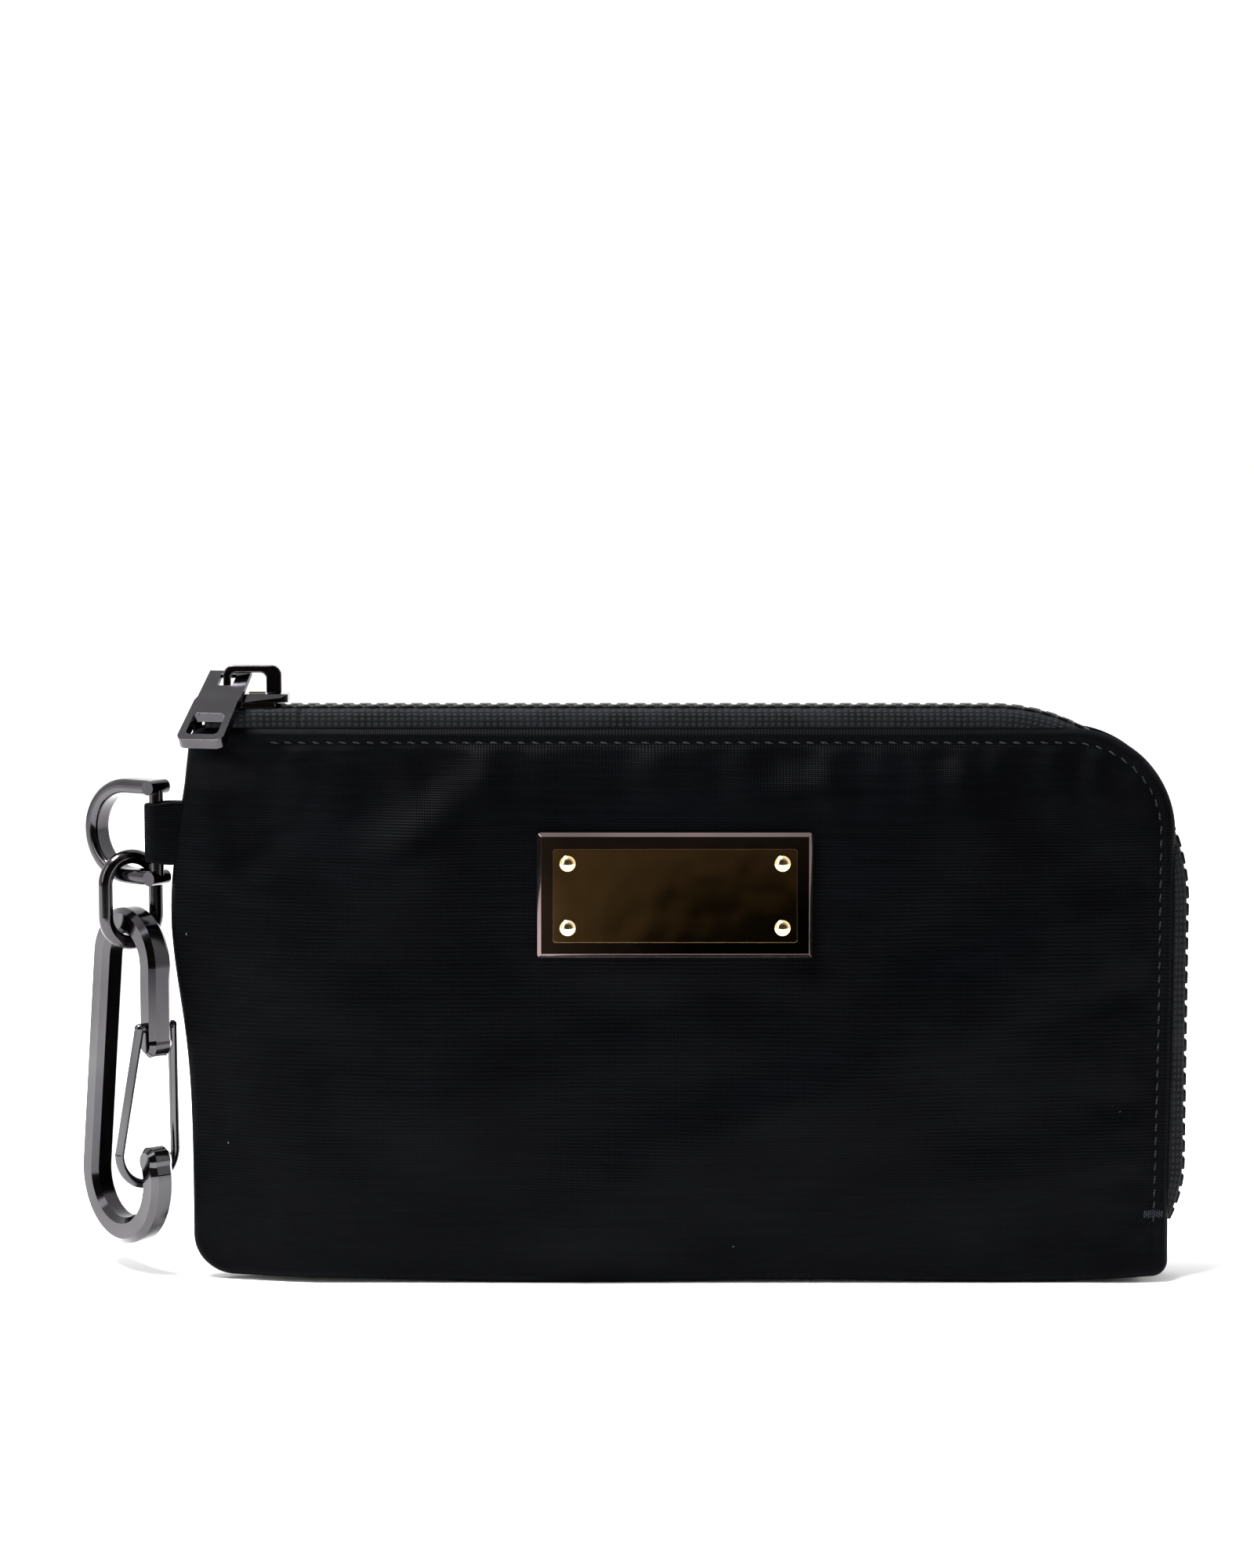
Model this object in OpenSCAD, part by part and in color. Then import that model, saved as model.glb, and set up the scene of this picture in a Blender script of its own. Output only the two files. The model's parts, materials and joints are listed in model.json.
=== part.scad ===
/* [Pouch] */
// Width of the fabric panels, from the side seam to the zipped edge
pouch_w = 194; // [160:1:235]
// Height of the fabric panels, from the base to the top edge
pouch_h = 111; // [92:1:134]
// Thickness of the filled pouch at its middle
pouch_d = 21; // [17:0.5:26]
// Thickness along the zipped edges
rim_d = 11.2; // [11:0.1:14]
// Thickness along the base
base_d = 12; // [11:0.5:16]
// Thickness at the sewn side seam
seam_d = 4; // [4:0.1:6]
// Corner radius at the top right, where the zip turns
corner_zip = 21; // [12:1:30]
// Corner radius at the bottom left
corner_base = 8; // [4:1:16]
// Radius of the two tight corners
corner_tight = 3; // [2:0.5:6]

/* [Fabric] */
// Thickness of the outer cloth with its backing
panel_t = 0.9; // [0.6:0.1:1.2]
// Thickness of the lining cloth
lining_t = 0.4; // [0.2:0.1:0.6]
// Space between the outer cloth and the lining
lining_gap = 1.0; // [0.9:0.1:1.6]
// How far the lining stops short of the edges
lining_in = 7; // [7:0.5:10]
// Thickness of the strip that closes the base
base_t = 0.9; // [0.6:0.1:2]
// Width of the pocket inside
pocket_w = 120; // [80:1:140]
// Height of the pocket inside
pocket_h = 62; // [40:1:70]

/* [Mouth] */
// How far below the top edge the fold starts at the side seam
fold_drop = 14; // [14:0.5:20]
// Distance from the side seam to where the two zip tapes part
fixed_run = 22; // [22:0.5:30]

/* [Zip] */
// Length of one tooth and the space behind it
zip_pitch = 3.4; // [3:0.1:4]
// Length of one tooth
tooth_l = 2.4; // [1.8:0.1:2.6]
// Height of one tooth
tooth_h = 2.2; // [1.6:0.1:2.4]
// Width of a row of teeth from the tip to the tape
tooth_w = 2.45; // [2:0.05:3]
// Thickness of the zip tape
tape_t = 0.6; // [0.4:0.1:0.8]
// Width of the tape that runs down inside the panel
tape_skirt = 5.8; // [4:0.2:6.4]
// Height of the teeth's middle above the top edge
zip_rise = 3.2; // [2.6:0.1:5]
// Distance of the teeth's middle beyond the right edge
zip_proud = 2.5; // [2:0.1:4]
// Radius of the zip's turn at the top right
zip_turn = 38; // [30:1:48]
// Radius of the zip's tuck at its lower end
zip_tuck = 25; // [18:1:32]
// Angle of that tuck
tuck_angle = 40; // [20:5:50]
// Height at which the tuck starts
tuck_z = 24; // [22:1:40]

/* [Slider] */
// Length of the slider
slider_l = 13.5; // [11:0.5:16]
// Width of the slider's top plate
slider_w = 8; // [7.6:0.1:8.4]
// Thickness of the slider's top plate
slider_t = 1.6; // [1.2:0.1:2]
// Height of the bail above the top plate
bail_h = 5.6; // [5.4:0.1:7]
// Thickness of the bail across the zip
bail_t = 1.6; // [1.2:0.1:1.8]
// Thickness of the bail's leg and top bar
bail_bar = 1.5; // [1.2:0.1:1.6]

/* [Pull] */
// Length of the pull tab
pull_l = 23; // [18:0.2:30]
// Width of the pull tab at the slot
pull_w = 8.6; // [8:0.1:10]
// Width of the pull tab at its free end
pull_end_w = 9.5; // [9:0.1:12]
// Thickness of the pull tab
pull_t = 2.2; // [1.6:0.1:2.4]
// Side of the square window near the free end
pull_hole = 6.5; // [5.5:0.1:7]
// Angle between the hanging pull tab and the vertical
pull_tilt = 57; // [54:1:70]
// How far the hanging pull tab is turned towards the side seam
pull_yaw = 13; // [0:1:18]

/* [Name plate] */
// Width of the plate
plate_w = 54; // [40:1:60]
// Height of the plate
plate_h = 24.6; // [18:0.2:28]
// Thickness of the dark base plate
plate_t = 1.4; // [1:0.1:2]
// Width of the raised face
face_w = 47.7; // [34:0.1:54]
// Height of the raised face
face_h = 18.3; // [12:0.1:22]
// Thickness of the raised face
face_t = 0.8; // [0.5:0.1:1.4]
// Distance of the plate's middle below the top edge
plate_drop = 32.4; // [28:0.2:36]
// Spacing of the rivets along the plate
rivet_dx = 42; // [30:0.5:46]
// Spacing of the rivets across the plate
rivet_dz = 12.6; // [8:0.2:15]
// Radius of a rivet's head
rivet_r = 1.55; // [1:0.05:2]
// Radius of a rivet's shank
shank_r = 0.75; // [0.5:0.05:0.9]

/* [Strap and D-ring] */
// Height of the strap's middle above the base
strap_z = 89.7; // [60:0.5:89.7]
// Width of the strap along the side seam
strap_w = 12.8; // [8:0.2:14]
// Thickness of the folded strap
strap_t = 1; // [0.8:0.05:1.05]
// Distance from the side seam to the D-ring's bar
ring_reach = 7; // [6:0.5:10]
// Radius of the D-ring's straight bar
ring_bar_r = 1.4; // [1.2:0.1:1.8]
// Height of the D-ring's opening
ring_in_h = 15.2; // [14.8:0.2:20]
// Depth of the D-ring from its bar to the outside of its bow
ring_depth = 18.6; // [17:0.2:22]
// Thickness of the bow in the ring's plane
bow_t = 2.9; // [2.4:0.1:3.2]
// Width of the bow across the ring's plane
bow_w = 5.2; // [3:0.1:5.4]
// Direction in which the ring points, seen from above
ring_turn = 146; // [100:1:180]

/* [Chain link] */
// Length of the link
link_l = 20.2; // [18:0.2:30]
// Width of the link
link_w = 13.8; // [13.4:0.2:16]
// Thickness of the link's bar
link_bar = 2.9; // [2.4:0.1:3.1]
// Distance of the link from the D-ring's bar
link_out = 7; // [6.4:0.1:7.8]
// Direction of the link's plane, seen from above
link_turn = 32; // [20:1:45]

/* [Clip] */
// Length of the clip
clip_l = 68.5; // [60:0.5:74]
// Thickness of the clip's bar in its plane
clip_bar = 5.2; // [4.4:0.1:5.4]
// Thickness of the clip's bar across its plane
clip_t = 5.2; // [4:0.1:5.4]
// Radius of the clip's top bend, at the middle of the bar
clip_top_r = 8.5; // [8:0.1:10]
// Radius of the clip's basket, at the middle of the bar
clip_basket_r = 11.2; // [10:0.1:13]
// Length of the arm that carries the gate
arm_l = 18; // [15:0.5:20]
// Length of the wire gate from its pivot to its end
gate_l = 33.2; // [26:0.2:34]
// Diameter of the gate's wire
gate_wire = 1.9; // [1.6:0.1:2.2]
// Width of the gate's loop outside the wire
gate_w = 15; // [12:0.2:16]

/* [Hidden] */
$fn = 48;

// Clearances: between sewn layers, between moving bodies, and around a turning bar
layer_fit = 0.1;
body_fit = 0.3;
turn_fit = 0.1;

left_x = -pouch_w / 2;
right_x = pouch_w / 2;
mid_z = pouch_h / 2;
cloth = "#17181a";
lining_cloth = "#26272b";
moulded = "#0c0c0e";
gunmetal = "#3b3b40";
gold = "#c9a15e";

// The three bends of the panels' half thickness
seam_run = 26;
gusset_run = 7;
base_run = 14;
gusset_z = pouch_h - fold_drop + 1;

function ease(t) = let (c = min(1, max(0, t))) c * c * (3 - 2 * c);

// Share of the full bulge at a point of a panel
function bulge(x, z) =
  max(0, 1 - pow(abs(x) / right_x, 3)) * max(0, 1 - pow(abs(z - mid_z) / mid_z, 3));

// Half thickness that the edges give a point before it bulges
function edge_half(x, z) =
  let (
    side = ease((x - left_x) / seam_run),
    top = ease((z - gusset_z) / gusset_run),
    full = 1 - (1 - side) * (1 - top),
    base = (base_d - rim_d) / 2 * side * (1 - ease(z / base_run))
  )
  seam_d / 2 + (rim_d - seam_d) / 2 * full + base;

// Half thickness of the filled pouch
function half_depth(x, z) =
  let (edge = edge_half(x, z))
  edge + (pouch_d / 2 - edge) * bulge(x, z);

function along(a, b, n) = [for (i = [0 : n - 1]) a + (b - a) * i / n];

function bend(c, r, a0, a1, n) = [
  for (i = [0 : n])
    let (a = a0 + (a1 - a0) * i / n)
      c + r * [cos(a), sin(a)]
];

// Fold of the opened front, from the side seam to the lower right corner
fold_left = [left_x, pouch_h - fold_drop];
fold_right = [right_x, corner_tight];
fold_dir = (fold_right - fold_left) / norm(fold_right - fold_left);
fold_up = [-fold_dir.y, fold_dir.x];
part_x = left_x + fixed_run;
part_top = [part_x, pouch_h];
part_low = fold_left + fold_dir * (fixed_run + 11);

// Room that the opening front's lining and tape leave beside the parting line
lining_side = 3;
tape_side = 1.8;
// How far the lining's edge stays inside the tape at the end of the zip
tuck_back = 8;
tuck_round = 19;

// Outline of a whole panel, drawn in by a margin, anticlockwise from the left edge
function panel_outline(in) =
  let (
    tight = max(0.5, corner_tight - in),
    low = in > 0 ? tuck_round : corner_tight,
    base = max(1, corner_base - in),
    turn = in > 0 ? zip_turn - zip_rise - tape_skirt : corner_zip,
    l = left_x + in,
    r = right_x - in,
    b = in,
    t = pouch_h - in
  )
  concat(
    along([l, t - tight], [l, gusset_z - 1], 6),
    along([l, gusset_z - 1], [l, b + base], 7),
    bend([l + base, b + base], base, 180, 270, 3),
    along([l + base, b], [r - low, b], 11),
    bend([r - low, b + low], low, -90, 0, in > 0 ? 5 : 2),
    along([r, b + low], [r, t - turn], 6),
    bend([r - turn, t - turn], turn, 0, 90, 6),
    along([r - turn, t], [l + tight, t], 11),
    bend([l + tight, t - tight], tight, 90, 165, 2)
  );

// Outline of the part of the front that stays with the back, below the fold
function fixed_outline(in) =
  let (
    tight = max(0.5, corner_tight - in),
    base = max(1, corner_base - in),
    l = left_x + in,
    b = in,
    gap = body_fit / 2,
    end = fold_right - fold_dir * 3 * in - fold_up * gap
  )
  concat(
    along([l, pouch_h - in - tight], [l, gusset_z - 1], 6),
    along([l, gusset_z - 1], [l, b + base], 6),
    bend([l + base, b + base], base, 180, 270, 3),
    along([l + base, b], [right_x - in - tight - 2 * in, b], 10),
    in > 0 ? [] : bend([right_x - tight, b + tight], tight, -90, -30, 2),
    along(end, part_low - fold_up * gap, 11),
    along(part_low - [gap, 0], part_top - [gap, in], 4),
    along(part_top - [gap, in], [l + tight, pouch_h - in], 3),
    bend([l + tight, pouch_h - in - tight], tight, 90, 165, 2)
  );

// Outline of the part of the front that opens, above the fold
function flap_outline(in) =
  let (
    turn = in > 0 ? zip_turn - zip_rise - tape_skirt : corner_zip,
    r = right_x - in,
    t = pouch_h - in,
    gap = body_fit / 2,
    side = in > 0 ? lining_side : gap,
    start = part_low + fold_up * gap + [side, 0],
    low = fold_right + fold_up * gap - fold_dir * (in > 0 ? in + tuck_back : 0),
    side_low = in > 0 ? tuck_z + 2 : low.y + 1
  )
  concat(
    along(start, low, 11),
    along([r, side_low], [r, t - turn], 6),
    bend([r - turn, t - turn], turn, 0, 90, 6),
    along([r - turn, t], [part_x + side, t], 9),
    along([part_x + side, t], start, 4)
  );

// How far in each ring of a sheet lies; the first is close, where the cloth bends most
first_ring = 0.08;

function ring_share(k, rings) = k == 0 ? 0 : k == 1 ? first_ring : (k - 1) / (rings - 1);

// A sheet of cloth that follows the pouch's front, as rings drawn in to a hub
module sheet(outline, hub, depth_in, thick, rings) {
  n = len(outline);
  m = n * rings;
  skins = [
    for (d = [depth_in, depth_in + thick])
      concat(
        [
          for (k = [0 : rings - 1])
            for (p = outline)
              let (q = p + (hub - p) * ring_share(k, rings))
              [q.x, d - half_depth(q.x, q.y), q.y]
        ],
        [[hub.x, d - half_depth(hub.x, hub.y), hub.y]]
      )
  ];
  function at(skin, k, i) = skin * (m + 1) + k * n + i % n;
  function hub_at(skin) = skin * (m + 1) + m;
  polyhedron(
    points = concat(skins[0], skins[1]),
    faces = concat(
      [for (k = [0 : rings - 2]) for (i = [0 : n - 1]) [at(0, k, i), at(0, k + 1, i), at(0, k + 1, i + 1)]],
      [for (k = [0 : rings - 2]) for (i = [0 : n - 1]) [at(0, k, i), at(0, k + 1, i + 1), at(0, k, i + 1)]],
      [for (k = [0 : rings - 2]) for (i = [0 : n - 1]) [at(1, k, i), at(1, k + 1, i + 1), at(1, k + 1, i)]],
      [for (k = [0 : rings - 2]) for (i = [0 : n - 1]) [at(1, k, i), at(1, k, i + 1), at(1, k + 1, i + 1)]],
      [for (i = [0 : n - 1]) [at(0, rings - 1, i), hub_at(0), at(0, rings - 1, i + 1)]],
      [for (i = [0 : n - 1]) [at(1, rings - 1, i), at(1, rings - 1, i + 1), hub_at(1)]],
      [for (i = [0 : n - 1]) [at(0, 0, i), at(0, 0, i + 1), at(1, 0, i + 1)]],
      [for (i = [0 : n - 1]) [at(0, 0, i), at(1, 0, i + 1), at(1, 0, i)]]
    ),
    convexity = 6
  );
}

lining_depth = panel_t + lining_gap;
fixed_hub = [left_x + 0.2 * pouch_w, 0.3 * pouch_h];
flap_hub = [0.3 * pouch_w, 0.68 * pouch_h];

module back_panel() {
  color(cloth)
    mirror([0, 1, 0])
      sheet(panel_outline(0), [0, mid_z], 0, panel_t, 8);
}

module back_lining() {
  color(lining_cloth)
    mirror([0, 1, 0])
      sheet(panel_outline(lining_in), [0, mid_z], lining_depth, lining_t, 6);
}

module front_panel() {
  color(cloth)
    sheet(fixed_outline(0), fixed_hub, 0, panel_t, 7);
}

module front_lining() {
  color(lining_cloth)
    sheet(fixed_outline(lining_in), fixed_hub, lining_depth, lining_t, 6);
}

module flap_panel() {
  color(cloth)
    sheet(flap_outline(0), flap_hub, 0, panel_t, 7);
}

module flap_lining() {
  color(lining_cloth)
    sheet(flap_outline(lining_in), flap_hub, lining_depth, lining_t, 6);
}

// Slip pocket inside the back, open along its top
module inner_pocket() {
  x = pocket_w / 2;
  low = lining_in + 6;
  outline = concat(
    along([-x, low + pocket_h], [-x, low], 5),
    along([-x, low], [x, low], 8),
    along([x, low], [x, low + pocket_h], 5),
    along([x, low + pocket_h], [-x, low + pocket_h], 8)
  );
  color(lining_cloth)
    mirror([0, 1, 0])
      sheet(outline, [0, low + pocket_h / 2], lining_depth + lining_t + layer_fit + 0.4, lining_t, 5);
}

// Strip between the two panels that the pouch stands on
module base_strip() {
  half = base_d / 2 - panel_t - layer_fit;
  full_x = left_x + seam_run;
  narrow_x = left_x + corner_base + 2;
  narrow = edge_half(narrow_x, 0) - panel_t - layer_fit;
  color(cloth)
    linear_extrude(base_t)
      polygon([
        [narrow_x, -narrow], [full_x, -half], [right_x - corner_tight - 1, -half],
        [right_x - corner_tight - 1, half], [full_x, half], [narrow_x, narrow]
      ]);
}

// Cloth that closes the corner between the side seam and the end of the zip
module side_gore() {
  half = rim_d / 2 - panel_t - 3 * layer_fit;
  low = seam_d / 2 - panel_t - 3 * layer_fit;
  front_fit = 0.4;
  late = 0.06;
  function spread(f) = low + (half - low) * ease(f - late);
  color(cloth)
    translate([left_x + 1.6, 0, 0])
      rotate([90, 0, 90])
        linear_extrude(0.8)
          polygon(concat(
            [for (i = [0 : 6]) [spread(i / 6), gusset_z + gusset_run * i / 6]],
            [[half, pouch_h + 2], [front_fit - half, pouch_h + 2]],
            [for (i = [6 : -1 : 0]) [front_fit - spread(i / 6), gusset_z + gusset_run * i / 6]]
          ));
}

// The zip's path: along the top, round the corner, down the side and in at the end
zip_z = pouch_h + zip_rise;
zip_x = right_x + zip_proud;
zip_start = left_x + 3;
turn_c = [zip_x - zip_turn, zip_z - zip_turn];
tuck_c = [zip_x - zip_tuck, tuck_z];
top_run = turn_c.x - zip_start;
turn_run = PI / 2 * zip_turn;
side_run = turn_c.y - tuck_z;
tuck_run = PI * zip_tuck * tuck_angle / 180;
zip_run = top_run + turn_run + side_run + tuck_run;

// Place and heading at a distance along the zip
function zip_at(s) =
  s < top_run ? [zip_start + s, zip_z, 0]
  : s < top_run + turn_run
    ? let (a = (s - top_run) / zip_turn * 180 / PI)
      [turn_c.x + zip_turn * sin(a), turn_c.y + zip_turn * cos(a), a]
  : s < top_run + turn_run + side_run ? [zip_x, turn_c.y - (s - top_run - turn_run), 90]
  : let (a = (s - top_run - turn_run - side_run) / zip_tuck * 180 / PI)
    [tuck_c.x + zip_tuck * cos(a), tuck_c.y - zip_tuck * sin(a), 90 + a];

module on_zip(s) {
  spot = zip_at(s);
  translate([spot.x, 0, spot.y])
    rotate([0, spot.z, 0])
      children();
}

tape_out = rim_d / 2 - panel_t - layer_fit;
chain_gap = 0.5;
tape_in = chain_gap + tooth_w + 0.05;

// Half of the tape seen along the zip, as distance from the middle and height over the teeth's middle
module tape_section() {
  polygon([
    [tape_in, -tape_t / 2], [tape_in, tape_t / 2], [tape_out - 0.5, tape_t / 2], [tape_out, -0.3],
    [tape_out, -zip_rise - tape_skirt], [tape_out - tape_t, -zip_rise - tape_skirt],
    [tape_out - tape_t, -tape_t / 2 - 0.2], [tape_out - tape_t - 0.4, -tape_t / 2]
  ]);
}

// A straight stretch of tape, on the back of the zip
module tape_straight(s0, s1) {
  on_zip(s0)
    rotate([90, 0, 90])
      linear_extrude(s1 - s0)
        tape_section();
}

// A bent stretch of tape about a centre, on the back of the zip
module tape_bent(c, r, a0, a1) {
  translate([c.x, 0, c.y])
    rotate([90, 0, 0])
      rotate([0, 0, a0])
        rotate_extrude(angle = a1 - a0, $fn = 96)
          translate([r, 0])
            rotate(-90)
              tape_section();
}

module tape_from(s0) {
  tape_straight(s0, top_run);
  tape_bent(turn_c, zip_turn, 90, 0);
  tape_straight(top_run + turn_run, top_run + turn_run + side_run);
  tape_bent(tuck_c, zip_tuck, 0, -tuck_angle);
}

// A row of teeth between two distances along the zip, on the back of the zip
module teeth(s0, s1) {
  count = floor((s1 - s0 - tooth_l) / zip_pitch);
  for (i = [0 : count])
    on_zip(s0 + tooth_l / 2 + i * zip_pitch)
      translate([0, 0, -tooth_h / 2])
        linear_extrude(tooth_h)
          polygon([
            [-tooth_l / 2, chain_gap + tooth_w], [-tooth_l / 2, chain_gap + 0.9],
            [-tooth_l / 3, chain_gap], [tooth_l / 3, chain_gap],
            [tooth_l / 2, chain_gap + 0.9], [tooth_l / 2, chain_gap + tooth_w]
          ]);
}

part_s = part_x - zip_start;

module zip_tape_back() {
  color(moulded)
    tape_from(0);
}

module zip_teeth_back() {
  color(moulded)
    teeth(3, zip_run);
}

module zip_tape_end() {
  color(moulded)
    mirror([0, 1, 0])
      tape_straight(0, part_s - body_fit / 2);
}

module zip_teeth_end() {
  color(moulded)
    mirror([0, 1, 0])
      teeth(3 + zip_pitch / 2, part_s);
}

module zip_tape_front() {
  color(moulded)
    mirror([0, 1, 0])
      tape_from(part_s + tape_side);
}

module zip_teeth_front() {
  ends = floor((part_s - 3 - zip_pitch / 2) / zip_pitch) + 1;
  color(moulded)
    mirror([0, 1, 0])
      teeth(3 + zip_pitch / 2 + ends * zip_pitch, zip_run);
}

module zip_top_stops() {
  color(moulded)
    for (side = [0, 1])
      mirror([0, side, 0])
        translate([zip_start, chain_gap, zip_z - tooth_h / 2])
          cube([2.2, tooth_w, tooth_h]);
}

module zip_bottom_stop() {
  color(moulded)
    on_zip(zip_run + 0.2)
      translate([0, 0.2, -tooth_h / 2])
        cube([3, tooth_w + 0.3, tooth_h]);
}

// Slider: two plates joined by a neck that runs between the rows of teeth
slider_x = zip_start + 3;
wing_z = zip_z + tooth_h / 2 + body_fit + 0.2;
wing_top = wing_z + slider_t;
low_z = zip_z - tooth_h / 2 - body_fit - 0.3;
low_t = 0.9;
low_w = 2 * (tape_out - tape_t - body_fit - 0.3);

module slider_plan(w) {
  polygon([
    [0, -0.3 * w], [1.6, -0.46 * w], [3.5, -w / 2], [6, -w / 2], [slider_l - 1.2, -0.4 * w],
    [slider_l, -0.3 * w], [slider_l, 0.3 * w], [slider_l - 1.2, 0.4 * w], [6, w / 2], [3.5, w / 2],
    [1.6, 0.46 * w], [0, 0.3 * w]
  ]);
}

module slider_body() {
  crown = slider_w / 2 - 1.6;
  color(gunmetal)
    translate([slider_x, 0, 0]) {
      intersection() {
        translate([0, 0, wing_z])
          linear_extrude(slider_t)
            slider_plan(slider_w);
        translate([-1, 0, 0])
          rotate([90, 0, 90])
            linear_extrude(slider_l + 2)
              polygon([
                [-slider_w / 2, wing_z], [slider_w / 2, wing_z], [slider_w / 2, wing_top - 1.3],
                [crown, wing_top], [-crown, wing_top], [-slider_w / 2, wing_top - 1.3]
              ]);
      }
      for (side = [0, 1])
        mirror([0, side, 0])
          translate([3.5, slider_w / 2 - 0.7, zip_z + tape_t / 2 + body_fit])
            cube([slider_l - 6, 0.5, wing_z - zip_z - tape_t / 2 - body_fit + 0.1]);
      translate([0.6, 0, low_z - low_t])
        linear_extrude(low_t)
          scale([0.92, 1])
            slider_plan(low_w);
      translate([0.8, -0.35 * chain_gap * 2, low_z - 0.1])
        cube([2.4, 0.7 * chain_gap * 2, wing_z - low_z + 0.2]);
    }
}

leg_x = slider_x + 1.35;
bail_l = slider_l - 2;
bail_foot = 3;
bail_round = 2;
bail_inner = 1.2;

// Arch that holds the pull tab: a thin leg, a top bar and a broad foot
module slider_bail() {
  inner_w = bail_l - bail_bar - bail_foot;
  inner_h = bail_h - bail_bar;
  color(gunmetal)
    translate([leg_x - bail_bar / 2, bail_t / 2, wing_top])
      rotate([90, 0, 0])
        linear_extrude(bail_t)
          difference() {
            union() {
              square([bail_l, bail_h - bail_round]);
              hull()
                for (x = [bail_round, bail_l - bail_round])
                  translate([x, bail_h - bail_round])
                    circle(bail_round);
            }
            translate([bail_bar, -1])
              square([inner_w, inner_h + 1 - bail_inner]);
            hull()
              for (x = [bail_inner, inner_w - bail_inner])
                translate([bail_bar + x, inner_h - bail_inner])
                  circle(bail_inner);
          }
}

// Leaf that locks the slider when the pull tab hangs down
module slider_lock_spring() {
  color(gold)
    translate([leg_x + bail_bar / 2 + 3.6, -0.5, wing_top + 0.05])
      cube([bail_l - bail_bar - bail_foot - 3.8, 1, 0.3]);
}

// Pull tab: pivot in the bail's thin leg, its plate hanging forwards
slot_w = 3.2;
slot_l = 3.6;
slot_t = 1;
slot_bar = 1.2;
pull_drop = 1.8;
pull_z = wing_top + bail_h - bail_bar - pull_drop;
pull_neck = 5.4;
pull_full = 7.4;

module rounded_rect(w, h, r) {
  square([w - 2 * r, h], center = true);
  square([w, h - 2 * r], center = true);
  for (x = [-1, 1])
    for (y = [-1, 1])
      translate([x * (w / 2 - r), y * (h / 2 - r)])
        circle(r);
}

module pull_tab() {
  head = slot_l / 2 + slot_bar;
  end = pull_l - head;
  round_r = 1.8;
  hole_at = end - pull_hole / 2 - 1.9;
  color(gunmetal)
    translate([leg_x, 0, pull_z])
      rotate([0, 0, -pull_yaw])
        rotate([-pull_tilt, 0, 0])
          intersection() {
            rotate([90, 0, 0])
              translate([0, 0, -pull_t / 2])
                linear_extrude(pull_t)
                  difference() {
                    union() {
                      polygon([
                        [-pull_w / 2, head], [-pull_end_w / 2, round_r - end],
                        [round_r - pull_end_w / 2, -end],
                        [pull_end_w / 2 - round_r, -end], [pull_end_w / 2, round_r - end], [pull_w / 2, head]
                      ]);
                      for (side = [-1, 1])
                        translate([side * (pull_end_w / 2 - round_r), round_r - end])
                          circle(round_r);
                    }
                    square([slot_w, slot_l], center = true);
                    translate([0, -hole_at])
                      rounded_rect(pull_hole, pull_hole, 1);
                  }
            rotate([90, 0, 90])
              translate([0, 0, -pull_end_w])
                linear_extrude(2 * pull_end_w)
                  polygon([
                    [-slot_t / 2, head], [slot_t / 2, head], [slot_t / 2, -pull_neck], [pull_t / 2, -pull_full],
                    [pull_t / 2, -end], [-pull_t / 2, -end], [-pull_t / 2, -pull_full], [-slot_t / 2, -pull_neck]
                  ]);
          }
}

// Name plate, leaning with the panel it is riveted to
plate_z = pouch_h - plate_drop;
plate_lean = atan((half_depth(0, plate_z - plate_h / 2) - half_depth(0, plate_z + plate_h / 2)) / plate_h);
plate_seat = half_depth(0, plate_z) + layer_fit;
plate_x = -1.3;

// Puts a shape drawn on the X-Y plane on the front, with Z outwards
module on_plate(out) {
  translate([plate_x, -plate_seat, plate_z])
    rotate([90 - plate_lean, 0, 0])
      translate([0, 0, out])
        children();
}

module rivet_spots() {
  for (x = [-1, 1])
    for (z = [-1, 1])
      translate([x * rivet_dx / 2, z * rivet_dz / 2, 0])
        children();
}

module plate_base() {
  bevel = 0.8;
  color(gunmetal)
    on_plate(0)
      difference() {
        intersection() {
          linear_extrude(plate_t)
            rounded_rect(plate_w, plate_h, 0.8);
          rotate([90, 0, 0])
            translate([0, 0, -plate_h])
              linear_extrude(2 * plate_h)
                polygon([
                  [-plate_w / 2, 0], [plate_w / 2, 0], [plate_w / 2, plate_t - bevel],
                  [plate_w / 2 - bevel, plate_t], [bevel - plate_w / 2, plate_t], [-plate_w / 2, plate_t - bevel]
                ]);
          rotate([90, 0, 90])
            translate([0, 0, -plate_w])
              linear_extrude(2 * plate_w)
                polygon([
                  [-plate_h / 2, 0], [plate_h / 2, 0], [plate_h / 2, plate_t - bevel],
                  [plate_h / 2 - bevel, plate_t], [bevel - plate_h / 2, plate_t], [-plate_h / 2, plate_t - bevel]
                ]);
        }
        rivet_spots()
          translate([0, 0, -1])
            cylinder(r = shank_r + turn_fit / 2, h = plate_t + 2);
      }
}

module plate_face() {
  color(gold)
    on_plate(plate_t + 0.02)
      difference() {
        linear_extrude(face_t)
          rounded_rect(face_w, face_h, 0.5);
        rivet_spots()
          translate([0, 0, -1])
            cylinder(r = shank_r + turn_fit / 2, h = face_t + 2);
      }
}

washer_t = 0.4;
washer_out = -panel_t - 0.35;

module plate_rivets() {
  head_h = 0.7;
  face_top = plate_t + face_t + 0.04;
  dome_r = (rivet_r * rivet_r + head_h * head_h) / (2 * head_h);
  color(gold)
    on_plate(face_top)
      rivet_spots() {
        intersection() {
          translate([0, 0, head_h - dome_r])
            sphere(dome_r);
          cylinder(r = rivet_r + 1, h = head_h + 1);
        }
        translate([0, 0, washer_out - washer_t - 0.05 - face_top])
          cylinder(r = shank_r, h = face_top - washer_out + washer_t + 0.15);
      }
}

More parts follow.
